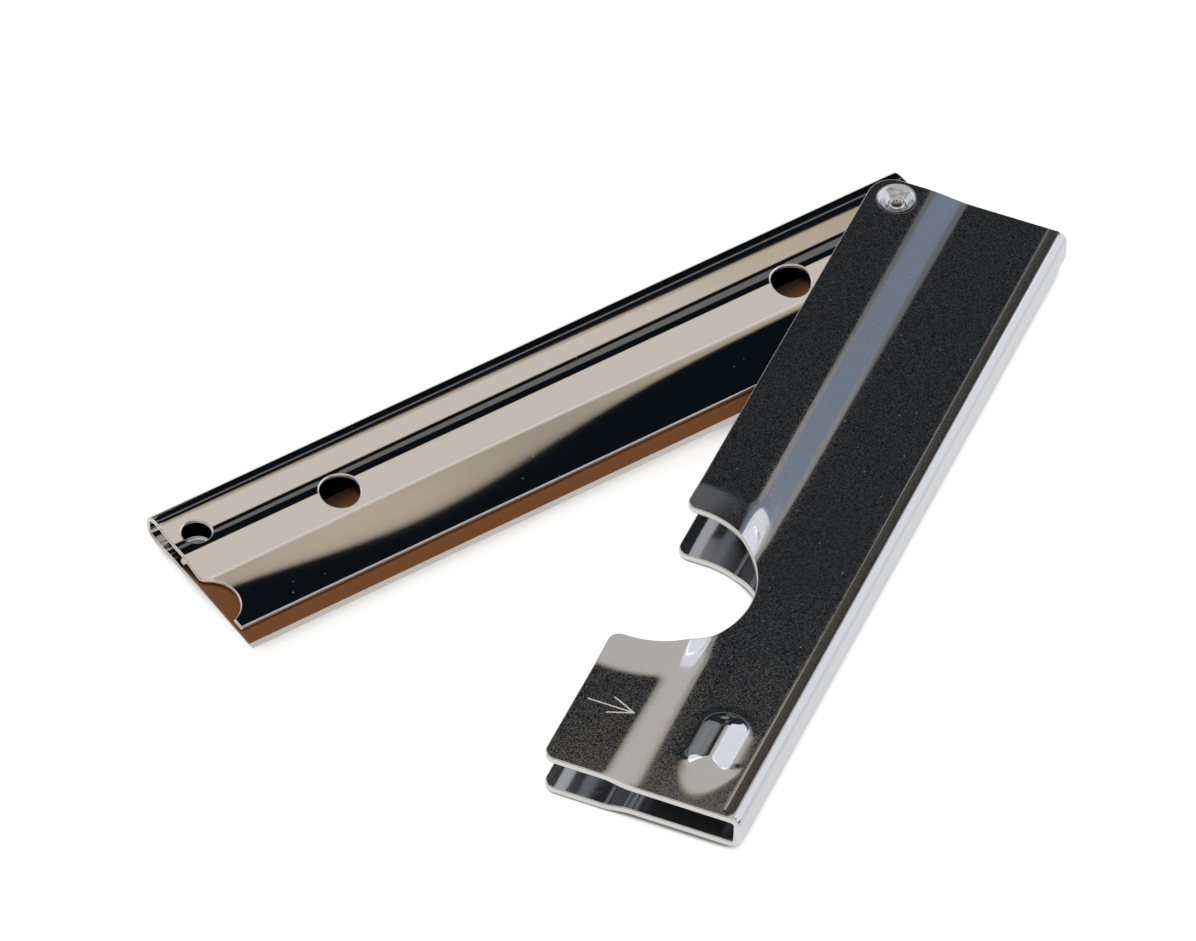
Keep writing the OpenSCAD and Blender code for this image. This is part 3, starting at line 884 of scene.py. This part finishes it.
# Painted shade: the blade's brown fades to near black towards its back edge, for the shadow under the
# holder's upper sheet.
painted_back_shade = ramp(tree, own.outputs["Y"], *BACK_SHADE_FADE, 1.0, 0.0)
tree.links.new(two_colours(tree, painted_back_shade, stained, BACK_SHADE_DARK), shader.inputs["Base Color"])
bumped(tree, shader, use_group(tree, rubbing, at, Along=0.6, Across=0.2), depth=0.6)
ground, tree, shader = new_material("blade_ground", GROUND_STEEL, 1.0, 0.35)
at = in_mm(tree, -OPEN_ANGLE)
bumped(tree, shader, use_group(tree, rubbing, at, Along=0.1, Across=1.0), depth=2.0)
ground_strip, given, put = new_tree("ground_strip", [
    ("Size", "NodeSocketVector"), ("Bevel", "NodeSocketFloat"), ("Land", "NodeSocketFloat"),
    ("Body", "NodeSocketMaterial"), ("Edge", "NodeSocketMaterial")])
bar = node(ground_strip, "GeometryNodeMeshCube")
ground_strip.links.new(given["Size"], bar.inputs["Size"])
for name, number in (("Vertices X", 2), ("Vertices Y", 3), ("Vertices Z", 2)):
    bar.inputs[name].default_value = number
bar_size = node(ground_strip, "ShaderNodeSeparateXYZ")
ground_strip.links.new(given["Size"], bar_size.inputs[0])
spot = node(ground_strip, "GeometryNodeInputPosition")
split = node(ground_strip, "ShaderNodeSeparateXYZ")
ground_strip.links.new(spot.outputs[0], split.inputs[0])
half_w = maths(ground_strip, "MULTIPLY", bar_size.outputs["Y"], 0.5)
from_middle = maths(ground_strip, "ABSOLUTE", split.outputs["Y"])
in_middle = maths(ground_strip, "LESS_THAN", from_middle, ON_AXIS)
near_edge = maths(ground_strip, "MULTIPLY", half_w, 0.9)
at_edge = maths(ground_strip, "GREATER_THAN", split.outputs["Y"], near_edge)
bevel_from = maths(ground_strip, "SUBTRACT", half_w, given["Bevel"])
land_share = maths(ground_strip, "DIVIDE", given["Land"], bar_size.outputs["Z"])
thinning = maths(ground_strip, "SUBTRACT", land_share, 1.0)
thinned = maths(ground_strip, "MULTIPLY", split.outputs["Z"], thinning)
shift = node(ground_strip, "ShaderNodeCombineXYZ")
ground_strip.links.new(maths(ground_strip, "MULTIPLY", in_middle, bevel_from), shift.inputs["Y"])
ground_strip.links.new(maths(ground_strip, "MULTIPLY", at_edge, thinned), shift.inputs["Z"])
shaped = chain(ground_strip, "GeometryNodeSetPosition", bar.outputs[0], Offset=shift.outputs[0])
shaped = chain(ground_strip, "GeometryNodeRealizeInstances", shaped)
shaped = chain(ground_strip, "GeometryNodeSetMaterial", shaped, Material=given["Body"])
on_bevel = maths(ground_strip, "GREATER_THAN", split.outputs["Y"], bevel_from)
edged = chain(ground_strip, "GeometryNodeSetMaterial", shaped, Selection=on_bevel, Material=given["Edge"])
ground_strip.links.new(edged, put[0])
blade_size = (BLADE_LEN * MM, BLADE_W * MM, BLADE_T * MM)
blade = grown("blade_dressed", [(0, 0, 0)], [], ground_strip, Size=blade_size,
              Bevel=BEVEL_W * MM, Land=EDGE_LAND * MM, Body=oxide, Edge=ground)
middle = Vector(((HOLDER_FROM + HOLDER_TO) / 2, EDGE_Y - BLADE_W / 2, 0)) * MM
blade.data.transform(Matrix.Translation(Vector((PIVOT_X, 0, MID_Z)) * MM)
                     @ Matrix.Rotation(-OPEN_ANGLE, 4, "Z") @ Matrix.Translation(middle))
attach(blade, "blade_body")
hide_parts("blade")

# Studio: a camera at the photograph's viewing angle, and plain light panels as in a product studio.
# Bright plating shows what stands round it, so each panel is a card that one face of the tool mirrors.
# Their places are given to the right of the camera, away from it and up.
AZIMUTH = math.radians(112.2388)
ELEVATION = math.radians(46.0183)
ROLL = math.radians(0.8945)
DISTANCE = 1.123825
TARGET = Vector((0.0022834, -0.0163399, 0))
SENSOR_W = 36
LENS = 305.847
FARTHEST = 20
right = Vector((math.cos(AZIMUTH), math.sin(AZIMUTH), 0))
away = Vector((-math.sin(AZIMUTH), math.cos(AZIMUTH), 0))
up = Vector((0, 0, 1))
backward = -away * math.cos(ELEVATION) + up * math.sin(ELEVATION)
camera = bpy.data.objects.new("camera", bpy.data.cameras.new("camera"))
camera.data.sensor_width = SENSOR_W
camera.data.lens = LENS
camera.data.clip_end = FARTHEST
side = math.cos(ROLL) * right + math.sin(ROLL) * backward.cross(right)
camera_turn = Matrix((side, backward.cross(side), backward)).transposed().to_4x4()
camera.matrix_world = Matrix.Translation(TARGET + DISTANCE * backward) @ camera_turn
bpy.context.scene.collection.objects.link(camera)
bpy.context.scene.camera = camera


def panel(name, centre, facing, width, height, radiance, colour):
    """A soft light panel of a given radiance, with its centre and the point that it faces."""
    light = bpy.data.lights.new(name, "AREA")
    light.shape = "RECTANGLE"
    light.size = width
    light.size_y = height
    light.energy = radiance * math.pi * width * height
    light.color = colour
    lamp = bpy.data.objects.new(name, light)
    spot = TARGET + centre[0] * right + centre[1] * away + centre[2] * up
    aim = TARGET + facing[0] * right + facing[1] * away + facing[2] * up - spot
    z = -aim.normalized()
    x = right - right.dot(z) * z
    x.normalize()
    lamp.matrix_world = Matrix.Translation(spot) @ Matrix((x, z.cross(x), z)).transposed().to_4x4()
    bpy.context.scene.collection.objects.link(lamp)
    return lamp


CEILING = 0.9


def hung(name, edges, radiance, colour):
    """A panel that hangs level over the table, given by its left, right, near and far edges."""
    left, right_end, near, far = edges
    middle = ((left + right_end) / 2, (near + far) / 2)
    panel(name, (*middle, CEILING), (*middle, 0), right_end - left, far - near, radiance, colour)


def stood(name, towards, distance, size, radiance, colour):
    """A panel that faces the tool, towards an azimuth right of the view and an elevation in degrees."""
    turn, lift = np.radians(towards)
    level = distance * math.cos(lift)
    centre = (level * math.sin(turn), level * math.cos(turn), distance * math.sin(lift))
    panel(name, centre, (0, 0, 0), *size, radiance, colour)


WARM = (1.0, 0.93, 0.86)
AMBER = (1.0, 0.87, 0.70)
COOL = (0.64, 0.76, 1.0)
WHITE = (1.0, 0.98, 0.97)
DAYLIGHT = (0.97, 0.96, 1.0)
ROOM_DARK = (0.003, 0.0055, 0.008)
hung("overhead", (-0.9, 0.15, -0.6, 0.69), radiance=0.68, colour=WARM)
hung("overhead_side", (0.15, 0.37, -0.6, 0.69), radiance=0.68, colour=WARM)
for near, far, radiance in ((0.69, 0.712, 0.57), (0.712, 0.734, 0.46), (0.734, 0.748, 0.3)):
    hung("overhead_edge", (-0.9, 0.15, near, far), radiance, AMBER)
hung("beige_card", (0.15, 0.22, 0.69, 0.81), radiance=0.36, colour=WARM)
hung("grey_card", (0.15, 0.22, 0.81, 1.0), radiance=0.17, colour=WHITE)
hung("cool_card", (0.22, 0.325, 0.69, 1.0), radiance=0.34, colour=COOL)
hung("white_side", (0.37, 0.48, -0.1, 0.69), radiance=1.05, colour=WHITE)
hung("white_far", (0.325, 0.54, 0.69, 0.95), radiance=1.05, colour=WHITE)
stood("key", towards=(64, 28), distance=0.7, size=(0.74, 0.8), radiance=1.12, colour=DAYLIGHT)
stood("low_card", towards=(-6, 38.4), distance=0.9, size=(1.4, 0.074), radiance=0.16, colour=WHITE)
stood("left_card", towards=(-26, 21), distance=0.8, size=(0.22, 0.37), radiance=0.25, colour=WHITE)
stood("left_key", towards=(-58, 28), distance=0.8, size=(0.66, 0.58), radiance=1.0, colour=DAYLIGHT)
stood("nose_card", towards=(8, 16), distance=0.8, size=(0.12, 0.3), radiance=0.12, colour=WHITE)
stood("right_side", towards=(120, 36), distance=1.0, size=(0.6, 0.5), radiance=0.6, colour=WHITE)
stood("left_side", towards=(-105, 36), distance=1.0, size=(0.6, 0.5), radiance=0.45, colour=WHITE)
stood("front_fill", towards=(180, 32), distance=1.5, size=(1.8, 1.0), radiance=0.9, colour=WHITE)
world = bpy.data.worlds.new("studio")
world.use_nodes = True
world.node_tree.nodes["Background"].inputs["Color"].default_value = (*ROOM_DARK, 1)
bpy.context.scene.world = world
bpy.context.scene.view_settings.view_transform = "Standard"

# Table: a plain sheet of pale paper under the tool, which shows white to the camera and in the plating.
# It takes the light of the panels, and it darkens where the tool covers it, so it keeps the shadow.
PAPER_SIDE = 6
PAPER_DROP = 0.0002
PAPER_GREY = (0.4, 0.4, 0.4, 1)
PAPER_GLOW = 0.85
PAPER_MIRRORED = 0.82
SHADE_REACH = 0.004
SHADE_FADE = (0.2, 0.55)
bpy.ops.mesh.primitive_plane_add(size=PAPER_SIDE, location=(0, 0, -PAPER_DROP))
floor = bpy.context.object
floor.name = "floor"
paper = bpy.data.materials.new("floor_paper")
paper.use_nodes = True
tree = paper.node_tree
tree.nodes.remove(tree.nodes["Principled BSDF"])
diffuse = node(tree, "ShaderNodeBsdfDiffuse", Color=PAPER_GREY)
path = node(tree, "ShaderNodeLightPath")
mirrored = maths(tree, "MULTIPLY", path.outputs["Is Glossy Ray"], PAPER_MIRRORED)
seen = maths(tree, "MAXIMUM", path.outputs["Is Camera Ray"], mirrored)
seen = maths(tree, "MAXIMUM", seen, path.outputs["Is Transmission Ray"])
covered = node(tree, "ShaderNodeAmbientOcclusion", samples=16, Distance=SHADE_REACH)
glow = node(tree, "ShaderNodeEmission", Color=(1, 1, 1, 1))
shade = ramp(tree, covered.outputs["AO"], *SHADE_FADE, 0.0, PAPER_GLOW)
tree.links.new(maths(tree, "MULTIPLY", seen, shade), glow.inputs["Strength"])
both = node(tree, "ShaderNodeAddShader")
tree.links.new(diffuse.outputs[0], both.inputs[0])
tree.links.new(glow.outputs[0], both.inputs[1])
tree.links.new(both.outputs[0], tree.nodes["Material Output"].inputs["Surface"])
floor.data.materials.append(paper)
